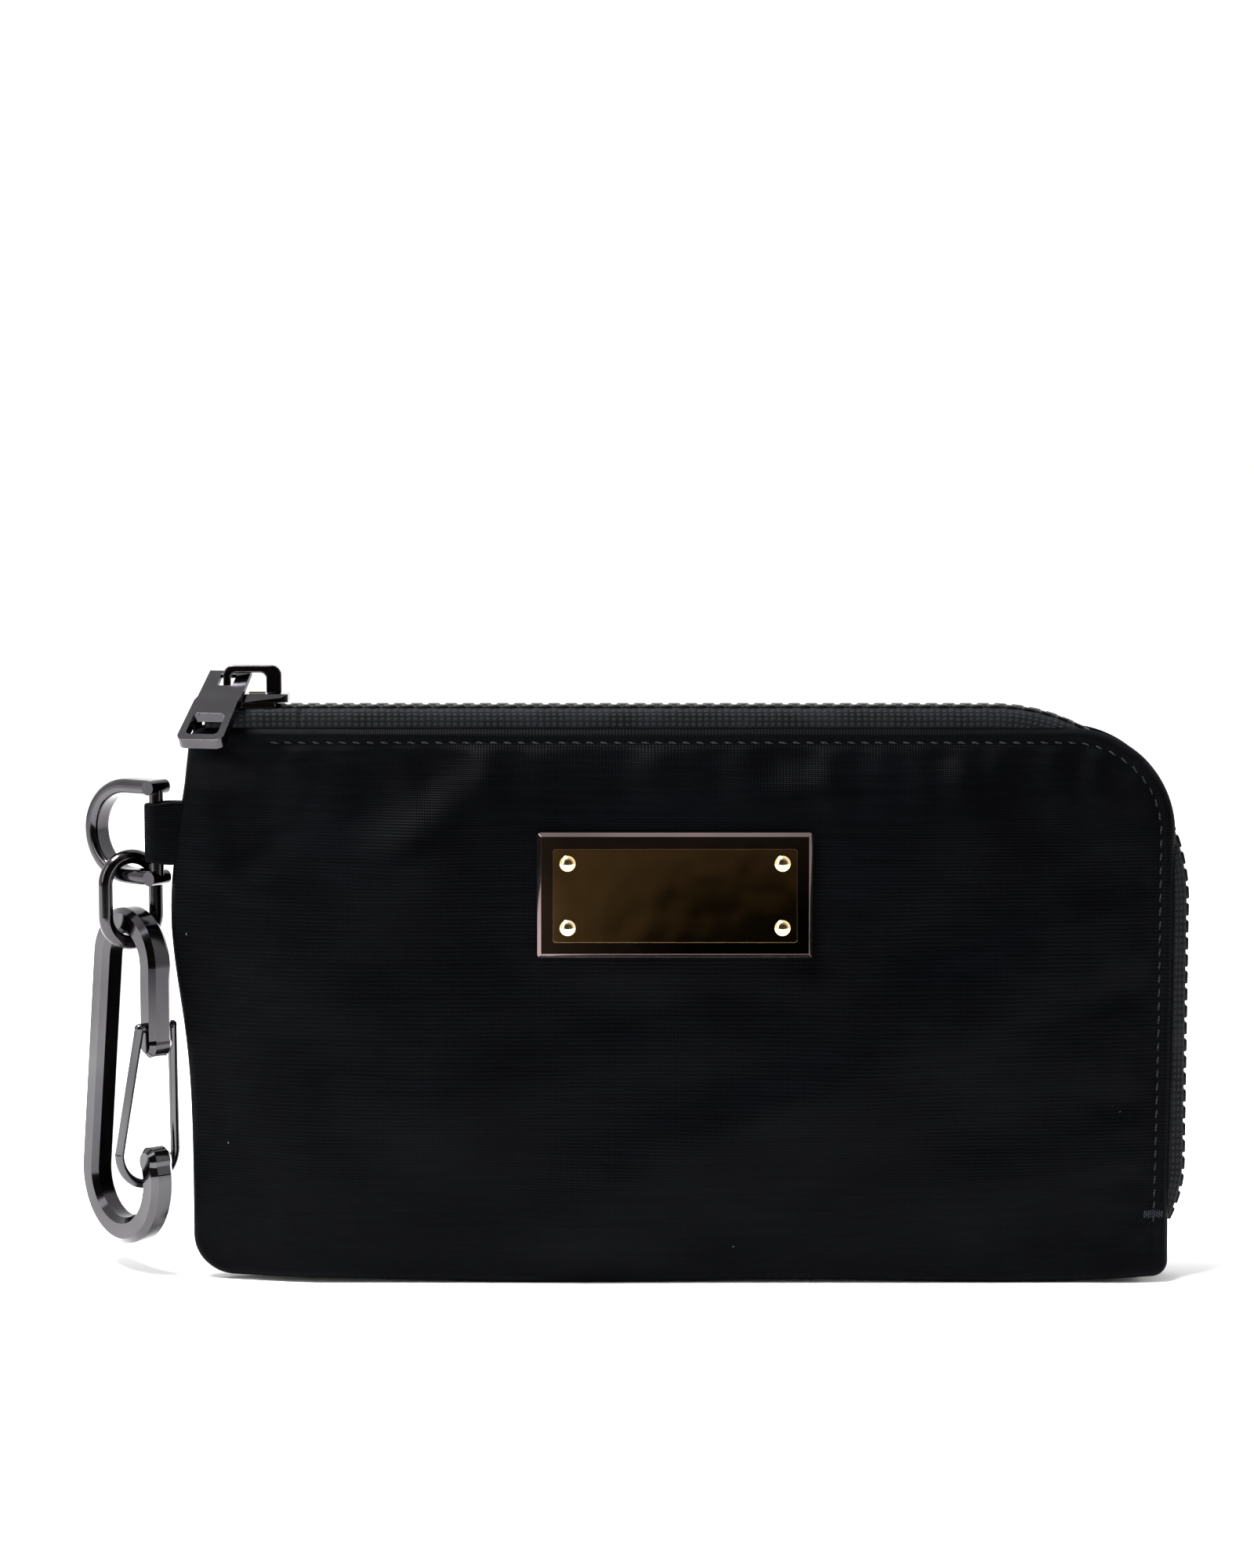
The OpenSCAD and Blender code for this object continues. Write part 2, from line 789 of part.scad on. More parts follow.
module plate_washer() {
  color(gunmetal)
    on_plate(washer_out - washer_t)
      difference() {
        linear_extrude(washer_t)
          rounded_rect(rivet_dx + 5, rivet_dz + 5, 1.5);
        rivet_spots()
          translate([0, 0, -1])
            cylinder(r = shank_r + turn_fit / 2, h = washer_t + 2);
      }
}

// Strap folded round the D-ring's bar and sewn into the side seam
ring_x = left_x - ring_reach;
loop_in = ring_bar_r + turn_fit;

module ring_strap() {
  color(cloth)
    translate([0, 0, strap_z - strap_w / 2])
      linear_extrude(strap_w)
        difference() {
          union() {
            translate([ring_x, 0])
              circle(loop_in + strap_t);
            polygon([
              [ring_x, -loop_in - strap_t], [ring_x + 1.4, -loop_in - strap_t + 0.3], [left_x - 1.6, -strap_t],
              [left_x + 5, -strap_t], [left_x + 5, strap_t], [left_x - 1.6, strap_t],
              [ring_x + 1.4, loop_in + strap_t - 0.3], [ring_x, loop_in + strap_t]
            ]);
          }
          translate([ring_x, 0])
            circle(loop_in);
        }
}

// D-ring: a straight bar in the strap and a flattened bow
bow_r = ring_in_h / 2 + bow_t / 2;
bow_c = ring_depth - ring_bar_r - bow_r - bow_t / 2;

module bow_section() {
  rounded_rect(bow_t, bow_w, 1.2);
}

module d_ring() {
  color(gunmetal)
    translate([ring_x, 0, strap_z])
      rotate([0, 0, ring_turn]) {
        translate([0, 0, -bow_r])
          cylinder(r = ring_bar_r, h = 2 * bow_r);
        for (side = [-1, 1])
          translate([0, 0, side * bow_r])
            rotate([0, 90, 0])
              linear_extrude(bow_c)
                bow_section();
        for (side = [-1, 1])
          translate([0, bow_w / 2, side * bow_r])
            rotate([90, 0, 0])
              cylinder(r = bow_t / 2, h = bow_w);
        translate([bow_c, 0, 0])
          rotate([90, 0, 0])
            rotate([0, 0, -90])
              rotate_extrude(angle = 180, $fn = 96)
                translate([bow_r, 0])
                  bow_section();
      }
}

// Chain link, hanging in the bow
link_r = (link_w - link_bar) / 2;
link_in_r = link_r - link_bar / 2;
link_spot = [ring_x + link_out * cos(ring_turn), link_out * sin(ring_turn)];
bow_top = strap_z - bow_r + bow_t / 2;
link_slack = 0.9;
link_top = bow_top + link_bar + link_slack;
link_top_c = link_top - link_bar / 2 - link_r;
link_low_c = link_top - link_l + link_bar / 2 + link_r;

module chain_link() {
  color(gunmetal)
    translate([link_spot.x, link_spot.y, 0])
      rotate([90, 0, link_turn]) {
        for (end = [[link_top_c, 0], [link_low_c, 180]])
          translate([0, end[0], 0])
            rotate([0, 0, end[1]])
              rotate_extrude(angle = 180, $fn = 96)
                translate([link_r, 0])
                  circle(link_bar / 2);
        for (side = [-1, 1])
          translate([side * link_r, link_low_c, 0])
            rotate([-90, 0, 0])
              cylinder(r = link_bar / 2, h = link_top_c - link_low_c);
      }
}

// Clip: a bent bar with a wire gate, hanging in the link
bar_cut = 1.1;
clip_seat = link_low_c - sqrt(pow(link_in_r - 0.05, 2) - pow(clip_t / 2 - bar_cut, 2)) + 0.15;
clip_top_z = clip_seat - clip_top_r + clip_bar / 2;
clip_basket_z = clip_seat + clip_bar - clip_l + clip_bar / 2 + clip_basket_r;
clip_basket_x = -2.6;
clip_turn = link_turn - 82;
gate_r = gate_wire / 2;
pivot_z = clip_top_z - arm_l + 6;

// Puts a shape drawn in the clip's plane in its place, with Y upwards
module on_clip() {
  translate([link_spot.x, link_spot.y, 0])
    rotate([90, 0, clip_turn])
      children();
}

module bar_section() {
  x = clip_bar / 2;
  y = clip_t / 2;
  c = bar_cut;
  polygon([[x, y - c], [x - c, y], [c - x, y], [-x, y - c], [-x, c - y], [c - x, -y], [x - c, -y], [x, c - y]]);
}

module bar_bend(c, r, a0, a1) {
  translate([c.x, c.y, 0])
    rotate([0, 0, a0])
      rotate_extrude(angle = a1 - a0, $fn = 96)
        translate([r, 0])
          bar_section();
}

// A straight stretch of bar, a little way into the bends at its ends
module bar_run(a, b) {
  weld = 0.05;
  step = b - a;
  translate([a.x, a.y, 0])
    rotate([0, 0, atan2(step.y, step.x)])
      translate([-weld, 0, 0])
        rotate([90, 0, 90])
          linear_extrude(norm(step) + 2 * weld)
            bar_section();
}

module bar_end(c, r) {
  cut = 1;
  translate([c.x, c.y, 0]) {
    translate([0, 0, -clip_t / 2 + cut])
      cylinder(r = r, h = clip_t - 2 * cut);
    translate([0, 0, clip_t / 2 - cut])
      cylinder(r1 = r, r2 = r - cut, h = cut);
    translate([0, 0, -clip_t / 2])
      cylinder(r1 = r - cut, r2 = r, h = cut);
  }
}

top_c = [0, clip_top_z];
basket_c = [clip_basket_x, clip_basket_z];
arm_end = [clip_top_r, clip_top_z - arm_l + clip_bar / 2];
nose_c = [clip_basket_x + clip_basket_r - 0.8, clip_basket_z + 4.4];

module clip_body() {
  spine = basket_c - top_c;
  lean = atan2(spine.y, spine.x) - asin((clip_basket_r - clip_top_r) / norm(spine));
  side = lean - 90;
  reach = [cos(side), sin(side)];
  color(gunmetal)
    on_clip()
      difference() {
        union() {
          bar_run(arm_end, [clip_top_r, clip_top_z]);
          bar_end(arm_end, clip_bar / 2 + 0.1);
          bar_bend(top_c, clip_top_r, 0, 360 + side);
          bar_run(top_c + clip_top_r * reach, basket_c + clip_basket_r * reach);
          bar_bend(basket_c, clip_basket_r, side, 8);
          bar_run(basket_c + clip_basket_r * [cos(8), sin(8)], nose_c);
          bar_end(nose_c, clip_bar / 2 + 0.3);
        }
        translate([clip_top_r, pivot_z, -clip_t])
          cylinder(r = gate_r + turn_fit / 2, h = 2 * clip_t);
      }
}

gate_x = clip_basket_x + clip_basket_r - clip_bar / 2 - gate_r - 0.2;

module wire(a, b) {
  step = b - a;
  tilt = acos(step.z / norm(step));
  heading = atan2(step.y, step.x);
  translate(a)
    rotate([0, tilt, heading])
      cylinder(r = gate_r, h = norm(step));
}

// Wire gate: two legs beside the clip's nose, joined by a loop that rests inside it
module clip_gate() {
  loop_r = gate_w / 2 - gate_r;
  loop_z = pivot_z - gate_l + gate_r + loop_r;
  top_side = clip_t / 2 + gate_r + 0.3;
  color(gunmetal)
    on_clip() {
      for (side = [-1, 1]) {
        low = [gate_x, loop_z, side * loop_r];
        high = [clip_top_r, pivot_z, side * top_side];
        wire(low, high);
        wire(high, [clip_top_r, pivot_z, side * 0.6]);
        translate(low)
          sphere(gate_r + 0.04);
        translate(high)
          sphere(gate_r + 0.04);
      }
      translate([gate_x, loop_z, 0])
        rotate([0, 90, 0])
          rotate([0, 0, -180])
            rotate_extrude(angle = 180, $fn = 96)
              translate([loop_r, 0])
                circle(gate_r);
    }
}

back_panel();
back_lining();
front_panel();
front_lining();
base_strip();
side_gore();
inner_pocket();
zip_tape_back();
zip_teeth_back();
zip_tape_end();
zip_teeth_end();
zip_top_stops();
zip_bottom_stop();
ring_strap();
flap_panel();
flap_lining();
zip_tape_front();
zip_teeth_front();
plate_base();
plate_face();
plate_rivets();
plate_washer();
slider_body();
slider_bail();
slider_lock_spring();
pull_tab();
d_ring();
chain_link();
clip_body();
clip_gate();
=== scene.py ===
import json
import math

import bmesh
import bpy
from mathutils import Matrix, Vector, noise


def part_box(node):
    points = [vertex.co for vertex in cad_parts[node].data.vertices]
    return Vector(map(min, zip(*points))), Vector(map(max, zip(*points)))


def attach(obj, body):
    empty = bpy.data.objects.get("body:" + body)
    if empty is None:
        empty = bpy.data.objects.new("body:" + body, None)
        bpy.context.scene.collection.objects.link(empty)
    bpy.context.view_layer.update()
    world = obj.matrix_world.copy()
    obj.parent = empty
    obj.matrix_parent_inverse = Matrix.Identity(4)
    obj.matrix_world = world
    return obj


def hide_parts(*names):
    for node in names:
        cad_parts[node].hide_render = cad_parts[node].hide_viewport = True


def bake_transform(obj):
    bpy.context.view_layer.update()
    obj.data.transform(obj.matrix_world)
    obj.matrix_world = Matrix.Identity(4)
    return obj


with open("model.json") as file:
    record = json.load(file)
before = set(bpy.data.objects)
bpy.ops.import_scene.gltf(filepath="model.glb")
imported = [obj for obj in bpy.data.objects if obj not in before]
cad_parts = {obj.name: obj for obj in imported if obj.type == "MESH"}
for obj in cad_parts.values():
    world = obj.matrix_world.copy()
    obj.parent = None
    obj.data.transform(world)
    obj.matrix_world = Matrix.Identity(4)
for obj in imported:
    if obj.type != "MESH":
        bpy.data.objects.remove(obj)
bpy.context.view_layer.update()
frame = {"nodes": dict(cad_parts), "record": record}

mm = 0.001
joints = {joint["name"]: joint for joint in frame["record"]["behaviour"]["joints"]}


def linear(hexColour):
    # sRGB hex to the linear colour the shaders want
    parts = [int(hexColour[i:i + 2], 16) / 255 for i in (1, 3, 5)]
    return [p / 12.92 if p <= 0.04045 else ((p + 0.055) / 1.055) ** 2.4 for p in parts] + [1]


def addNode(tree, kind, values={}, links={}, **props):
    node = tree.nodes.new("ShaderNode" + kind)
    for name, value in props.items():
        setattr(node, name, value)
    for name, value in values.items():
        node.inputs[name].default_value = value
    for name, socket in links.items():
        tree.links.new(socket, node.inputs[name])
    return node


def newMaterial(name):
    material = bpy.data.materials.new(name)
    material.use_nodes = True
    material.node_tree.nodes.clear()
    return material, material.node_tree


def finishMaterial(tree, shader):
    addNode(tree, "OutputMaterial", links={"Surface": shader.outputs["BSDF"]})


def addPiece(name, bm, material, smooth=True):
    mesh = bpy.data.meshes.new(name)
    bm.to_mesh(mesh)
    bm.free()
    mesh.materials.append(material)
    mesh.polygons.foreach_set("use_smooth", [smooth] * len(mesh.polygons))
    piece = bpy.data.objects.new(name, mesh)
    bpy.context.collection.objects.link(piece)
    return piece


def addModifier(piece, kind, **settings):
    modifier = piece.modifiers.new(kind.title(), kind)
    for name, value in settings.items():
        setattr(modifier, name, value)
    return modifier


def ease(t):
    t = min(1, max(0, t))
    return t * t * (3 - 2 * t)


def mix(a, b, t):
    return a + (b - a) * t


def layGrid(name, across, up, place, material, uvSize, flip=False):
    # A rectangular cloth: place gives each point's position in mm from its share across and up
    bm = bmesh.new()
    uvLayer = bm.loops.layers.uv.new("UVMap")
    bmesh.ops.create_grid(bm, x_segments=across, y_segments=up, size=0.5)
    shares = {vert: (vert.co.x + 0.5, vert.co.y + 0.5) for vert in bm.verts}
    for vert, (u, v) in shares.items():
        vert.co = Vector(place(u, v)) * mm
    for face in bm.faces:
        for loop in face.loops:
            u, v = shares[loop.vert]
            loop[uvLayer].uv = (u * uvSize[0], v * uvSize[1])
    if flip:
        bmesh.ops.reverse_faces(bm, faces=bm.faces)
    return addPiece(name, bm, material)


def standFor(piece, body, slot, *nodes):
    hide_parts(*nodes)
    if body:
        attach(piece, body)


# Finishing of the hard parts: which corners are rounded, and how near points are merged
polish = {"cornerAngle": 28, "merge": 0.003}


def finishNode(name, body, slot, material, edge, segments=2, flat=4):
    # The machined or cast part itself, with its corners rounded as polishing leaves them
    bm = bmesh.new()
    bm.from_mesh(frame["nodes"][name].data)
    bmesh.ops.remove_doubles(bm, verts=bm.verts, dist=polish["merge"] * mm)
    bmesh.ops.dissolve_limit(bm, angle_limit=math.radians(flat), verts=bm.verts,
                             edges=bm.edges)
    piece = addPiece(name + "Finished", bm, material)
    addModifier(piece, "BEVEL", width=edge * mm, segments=segments, limit_method="ANGLE",
                angle_limit=math.radians(polish["cornerAngle"]))
    addModifier(piece, "WEIGHTED_NORMAL", weight=100, keep_sharp=True)
    standFor(piece, body, slot, name)


# Wave texture scale that sets its bands one unit apart
waveUnit = 0.314
# Colours, thread spacings in mm (drawn coarser than the real ones, so that they show) and stray lint
nylonLook = {"dark": "#010102", "light": "#050608", "rib": 0.55, "warp": 0.42, "lint": "#5c6066",
             "lintSize": 0.035, "lintRare": 0.66}


def ribbedNylon():
    # Plain-woven nylon with heavier weft threads: fine ribs across, a low silky sheen, stray lint
    look = nylonLook
    material, tree = newMaterial("ribbedWovenNylon")
    place = addNode(tree, "TexCoord").outputs["UV"]
    ribs = addNode(tree, "TexWave", {"Scale": waveUnit / look["rib"], "Distortion": 1.2, "Detail": 2,
                   "Detail Scale": 0.4}, {"Vector": place}, bands_direction="Y")
    warp = addNode(tree, "TexWave", {"Scale": waveUnit / look["warp"], "Distortion": 0.8, "Detail": 1},
                   {"Vector": place}, bands_direction="X")
    slub = addNode(tree, "Mapping", {"Scale": (0.07, 0.9, 1)}, {"Vector": place})
    uneven = addNode(tree, "TexNoise", {"Scale": 1, "Detail": 4}, {"Vector": slub.outputs["Vector"]})
    cloud = addNode(tree, "TexNoise", {"Scale": 0.038, "Detail": 5, "Roughness": 0.6},
                    {"Vector": place})
    specks = addNode(tree, "TexVoronoi", {"Scale": 0.17, "Randomness": 1}, {"Vector": place})
    thread = addNode(tree, "Math", {1: 0.55}, {0: ribs.outputs["Fac"]}, operation="MULTIPLY")
    threads = addNode(tree, "Math", {}, {0: thread.outputs[0], 1: uneven.outputs["Fac"]},
                      operation="ADD")
    tone = addNode(tree, "Math", {}, {0: threads.outputs[0], 1: cloud.outputs["Fac"]},
                   operation="MULTIPLY")
    ramp = addNode(tree, "ValToRGB", links={"Fac": tone.outputs[0]})
    ramp.color_ramp.elements[0].position = 0.18
    ramp.color_ramp.elements[0].color = linear(look["dark"])
    ramp.color_ramp.elements[1].position = 0.66
    ramp.color_ramp.elements[1].color = linear(look["light"])
    lint = addNode(tree, "Math", {1: look["lintSize"]}, {0: specks.outputs["Distance"]},
                   operation="LESS_THAN")
    rare = addNode(tree, "TexNoise", {"Scale": 0.09, "Detail": 1}, {"Vector": place})
    some = addNode(tree, "Math", {1: look["lintRare"]}, {0: rare.outputs["Fac"]},
                   operation="GREATER_THAN")
    speck = addNode(tree, "Math", {}, {0: lint.outputs[0], 1: some.outputs[0]},
                    operation="MULTIPLY")
    colour = addNode(tree, "MixRGB", {"Color2": linear(look["lint"])},
                     {"Fac": speck.outputs[0], "Color1": ramp.outputs["Color"]})
    gloss = addNode(tree, "MapRange", {"To Min": 0.5, "To Max": 0.36},
                    {"Value": cloud.outputs["Fac"]})
    fine = addNode(tree, "Bump", {"Strength": 0.4, "Distance": 0.06 * mm},
                   {"Height": warp.outputs["Fac"]})
    height = addNode(tree, "Bump", {"Strength": 0.5, "Distance": 0.1 * mm},
                     {"Height": threads.outputs[0], "Normal": fine.outputs["Normal"]})
    shader = addNode(tree, "BsdfPrincipled", {"Sheen Weight": 0.002, "Sheen Roughness": 0.35,
                     "IOR": 1.5, "Specular IOR Level": 0.022},
                     {"Base Color": colour.outputs[0], "Roughness": gloss.outputs[0],
                      "Normal": height.outputs["Normal"]})
    finishMaterial(tree, shader)
    return material


def plainWeave(name, dark, light, pitch, roughness):
    # Flat woven lining or ribbon: over-and-under threads of one thickness
    material, tree = newMaterial(name)
    place = addNode(tree, "TexCoord").outputs["UV"]
    across = addNode(tree, "TexWave", {"Scale": waveUnit / pitch, "Distortion": 0.6},
                     {"Vector": place}, bands_direction="X")
    along = addNode(tree, "TexWave", {"Scale": waveUnit / pitch, "Distortion": 0.6},
                    {"Vector": place}, bands_direction="Y")
    crossed = addNode(tree, "Math", {}, {0: across.outputs["Fac"], 1: along.outputs["Fac"]},
                      operation="MULTIPLY")
    cloud = addNode(tree, "TexNoise", {"Scale": 0.12, "Detail": 4}, {"Vector": place})
    tone = addNode(tree, "Math", {}, {0: crossed.outputs[0], 1: cloud.outputs["Fac"]},
                   operation="ADD")
    ramp = addNode(tree, "ValToRGB", links={"Fac": tone.outputs[0]})
    ramp.color_ramp.elements[0].position = 0.3
    ramp.color_ramp.elements[0].color = linear(dark)
    ramp.color_ramp.elements[1].position = 1.0
    ramp.color_ramp.elements[1].color = linear(light)
    height = addNode(tree, "Bump", {"Strength": 0.8, "Distance": 0.15 * mm},
                     {"Height": crossed.outputs[0]})
    shader = addNode(tree, "BsdfPrincipled", {"Roughness": roughness, "Specular IOR Level": 0.05},
                     {"Base Color": ramp.outputs["Color"], "Normal": height.outputs["Normal"]})
    finishMaterial(tree, shader)
    return material


acetalLook = {"dark": "#050506", "light": "#0f0f11", "pebble": 1800, "wear": 140}


def mouldedPlastic():
    # Injection-moulded acetal: near black, satin, with a faint pebble from the mould
    material, tree = newMaterial("mouldedAcetal")
    place = addNode(tree, "TexCoord").outputs["Object"]
    pebble = addNode(tree, "TexNoise", {"Scale": acetalLook["pebble"], "Detail": 3}, {"Vector": place})
    wear = addNode(tree, "TexNoise", {"Scale": acetalLook["wear"], "Detail": 4}, {"Vector": place})
    ramp = addNode(tree, "ValToRGB", links={"Fac": wear.outputs["Fac"]})
    ramp.color_ramp.elements[0].color = linear(acetalLook["dark"])
    ramp.color_ramp.elements[1].color = linear(acetalLook["light"])
    height = addNode(tree, "Bump", {"Strength": 0.25, "Distance": 0.03 * mm},
                     {"Height": pebble.outputs["Fac"]})
    shader = addNode(tree, "BsdfPrincipled",
                     {"Roughness": 0.38, "IOR": 1.48, "Specular IOR Level": 0.1},
                     {"Base Color": ramp.outputs["Color"], "Normal": height.outputs["Normal"]})
    finishMaterial(tree, shader)
    return material


def platedMetal(name, dark, light, roughness, rub=0.06, sway=0.05):
    # Cast zinc, polished and plated: a mirror with slight waves and fine rubbing marks
    material, tree = newMaterial(name)
    place = addNode(tree, "TexCoord").outputs["Object"]
    wave = addNode(tree, "TexNoise", {"Scale": 55, "Detail": 2}, {"Vector": place})
    stretch = addNode(tree, "Mapping", {"Scale": (3200, 3200, 260), "Rotation": (0.3, 0.5, 0.2)},
                      {"Vector": place})
    rubbed = addNode(tree, "TexNoise", {"Scale": 1, "Detail": 5},
                     {"Vector": stretch.outputs["Vector"]})
    ramp = addNode(tree, "ValToRGB", links={"Fac": wave.outputs["Fac"]})
    ramp.color_ramp.elements[0].position = 0.3
    ramp.color_ramp.elements[0].color = linear(dark)
    ramp.color_ramp.elements[1].position = 0.7
    ramp.color_ramp.elements[1].color = linear(light)
    gloss = addNode(tree, "MapRange", {"To Min": roughness, "To Max": roughness + rub},
                    {"Value": rubbed.outputs["Fac"]})
    height = addNode(tree, "Bump", {"Strength": 0.5, "Distance": sway * mm},
                     {"Height": wave.outputs["Fac"]})
    shader = addNode(tree, "BsdfPrincipled", {"Metallic": 1},
                     {"Base Color": ramp.outputs["Color"], "Roughness": gloss.outputs[0],
                      "Normal": height.outputs["Normal"]})
    finishMaterial(tree, shader)
    return material


threadLook = {"dark": "#101114", "light": "#2a2c31", "twist": 0.35}


def twistedThread():
    # Spun polyester sewing thread, a little lighter than the cloth
    material, tree = newMaterial("polyesterThread")
    place = addNode(tree, "TexCoord").outputs["Object"]
    twist = addNode(tree, "TexWave", {"Scale": waveUnit / (threadLook["twist"] * mm),
                    "Distortion": 1}, {"Vector": place}, bands_direction="DIAGONAL")
    ramp = addNode(tree, "ValToRGB", links={"Fac": twist.outputs["Fac"]})
    ramp.color_ramp.elements[0].color = linear(threadLook["dark"])
    ramp.color_ramp.elements[1].color = linear(threadLook["light"])
    height = addNode(tree, "Bump", {"Strength": 0.5, "Distance": 0.05 * mm},
                     {"Height": twist.outputs["Fac"]})
    shader = addNode(tree, "BsdfPrincipled", {"Roughness": 0.6, "Specular IOR Level": 0.05},
                     {"Base Color": ramp.outputs["Color"], "Normal": height.outputs["Normal"]})
    finishMaterial(tree, shader)
    return material


nylon = ribbedNylon()
lining = plainWeave("wovenLining", "#0c0d0f", "#1d1e22", 0.5, 0.7)
tapeWeave = plainWeave("wovenZipTape", "#050506", "#1c1d20", 1.3, 0.6)
acetal = mouldedPlastic()
thread = twistedThread()
gunmetal = platedMetal("gunmetalPlatedZinc", "#373538", "#4a494b", 0.1)
wireMetal = platedMetal("gunmetalPlatedWire", "#3b3a3c", "#4e4d4f", 0.14)
darkMirror = platedMetal("darkPlatedMirror", "#5e5352", "#716462", 0.03, 0.03, 0.12)
goldMirror = platedMetal("goldPlatedMirror", "#b39468", "#c4a67a", 0.03, 0.03, 0.15)
paleGold = platedMetal("paleGoldPlate", "#e2c893", "#f0dcae", 0.12)
brass = platedMetal("rolledBrass", "#b59a5c", "#c9ae70", 0.25)
print("materials made")


view = {"lens": 85, "sensor": 36, "distance": 730 * mm, "elevation": 6,
        "aim": Vector((-10.7, -3, 99.7)) * mm}
table = {"half": 6, "behind": 5.65, "white": "#f8f8f8"}
room = {"strength": 1.35, "white": "#ffffff", "shade": "#0b0b09", "warm": "#62584a"}
# Name, place, aim and size in metres, and watts
softboxes = [
    ("overheadSoftbox", (-0.35, -0.2, 1.0), (0, 0, 0.05), (0.5, 0.25), 34),
    ("leftSoftbox", (-1.0, -0.75, 0.6), (0, 0, 0.06), (0.35, 1.0), 6),
]


def placeCamera():
    camera = bpy.data.cameras.new("camera")
    camera.lens = view["lens"]
    camera.sensor_fit = "VERTICAL"
    camera.sensor_height = view["sensor"]
    camera.clip_start = 0.01
    spot = bpy.data.objects.new("camera", camera)
    bpy.context.collection.objects.link(spot)
    rise = math.radians(view["elevation"])
    away = Vector((0, -math.cos(rise), math.sin(rise)))
    spot.location = view["aim"] + away * view["distance"]
    spot.rotation_euler = (-away).to_track_quat("-Z", "Y").to_euler()
    bpy.context.scene.camera = spot
    bpy.context.scene.view_settings.view_transform = "Standard"


def placeFloor():
    # A wide white table
    bm = bmesh.new()
    bmesh.ops.create_grid(bm, x_segments=1, y_segments=1, size=table["half"])
    bmesh.ops.translate(bm, verts=bm.verts, vec=(0, table["behind"], 0))
    material, tree = newMaterial("whiteTable")
    place = addNode(tree, "TexCoord").outputs["Object"]
    grain = addNode(tree, "TexNoise", {"Scale": 500, "Detail": 2}, {"Vector": place})
    height = addNode(tree, "Bump", {"Strength": 0.05, "Distance": 0.1 * mm},
                     {"Height": grain.outputs["Fac"]})
    shader = addNode(tree, "BsdfPrincipled", {"Base Color": linear(table["white"]),
                     "Roughness": 0.9, "Specular IOR Level": 0.1},
                     {"Normal": height.outputs["Normal"]})
    finishMaterial(tree, shader)
    addPiece("whiteTable", bm, material)


def addSoftbox(name, place, aim, size, watts):
    lamp = bpy.data.lights.new(name, "AREA")
    lamp.shape = "RECTANGLE"
    lamp.size, lamp.size_y = size
    lamp.energy = watts
    box = bpy.data.objects.new(name, lamp)
    box.location = place
    box.rotation_euler = (Vector(aim) - Vector(place)).to_track_quat("-Z", "Y").to_euler()
    bpy.context.collection.objects.link(box)


def placeLight():
    # White room above and behind, darker and warmer behind the camera, as a metal front mirrors it
    world = bpy.data.worlds.new("studio")
    world.use_nodes = True
    bpy.context.scene.world = world
    tree = world.node_tree
    tree.nodes.clear()
    way = addNode(tree, "TexCoord").outputs["Generated"]
    split = addNode(tree, "SeparateXYZ", links={"Vector": way})
    patch = addNode(tree, "TexNoise", {"Scale": 6, "Detail": 1.5, "Distortion": 0.6},
                    {"Vector": way})
    warm = addNode(tree, "ValToRGB", links={"Fac": patch.outputs["Fac"]})
    warm.color_ramp.elements[0].position = 0.46
    warm.color_ramp.elements[0].color = linear(room["shade"])
    warm.color_ramp.elements[1].position = 0.66
    warm.color_ramp.elements[1].color = linear(room["warm"])
    facing = addNode(tree, "MapRange", {"From Min": -0.7, "From Max": -0.2},
                     {"Value": split.outputs["Y"]})
    walls = addNode(tree, "MixRGB", {"Color2": linear(room["white"])},
                    {"Fac": facing.outputs[0], "Color1": warm.outputs["Color"]})
    glow = addNode(tree, "Background", {"Strength": room["strength"]}, {"Color": walls.outputs[0]})
    addNode(tree, "OutputWorld", links={"Surface": glow.outputs["Background"]})
    for softbox in softboxes:
        addSoftbox(*softbox)


placeCamera()
placeFloor()
placeLight()
print("camera, floor and light placed")


# From here on, lengths are in millimetres as the frame gives the pouch, and mm turns them to metres

def cadCorners(node):
    return [Vector(corner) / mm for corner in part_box(node)]


panelLow, panelHigh = cadCorners("back_panel")
plateLow, plateHigh = cadCorners("plate_base")
pouch = {
    "left": panelLow.x, "right": panelHigh.x, "top": panelHigh.z, "belly": panelHigh.y,
    "rim": cadCorners("side_gore")[1].y + 1.0, "base": cadCorners("base_strip")[1].y + 1.0,
    "seam": 2.0, "seamRun": 26, "gussetRun": 7, "baseRun": 14,
}
# Corner radii: top left, top right, bottom right, bottom left
panelCorners, liningCorners = (3, 21, 3, 8), (1, 29, 19, 1)
foldStart = Vector(joints["mouth_open"]["pos_m"]) / mm


def halfDepth(x, z):
    # From the pouch's middle to its cloth, with the pouch filled and its cloth smooth
    p = pouch
    mid = p["top"] / 2
    side = ease((x - p["left"]) / p["seamRun"])
    high = ease((z - foldStart.z - 1) / p["gussetRun"])
    full = 1 - (1 - side) * (1 - high)
    edge = p["seam"] + (p["rim"] - p["seam"]) * full
    edge += (p["base"] - p["rim"]) * side * (1 - ease(z / p["baseRun"]))
    swell = max(0, 1 - (abs(x) / p["right"]) ** 3)
    swell *= max(0, 1 - (abs(z - mid) / mid) ** 3)
    return edge + (p["belly"] - edge) * swell


def cornerRadius(x, z, corners):
    high = z > pouch["top"] / 2
    return corners[1 if high else 2] if x > 0 else corners[0 if high else 3]


def edgeDistance(x, z):
    # Distance inside the panels' outline, with its rounded corners
    radius = cornerRadius(x, z, panelCorners)
    dx = min(x - pouch["left"], pouch["right"] - x)
    dz = min(z, pouch["top"] - z)
    if dx < radius and dz < radius:
        return radius - math.hypot(radius - dx, radius - dz)
    return min(dx, dz)


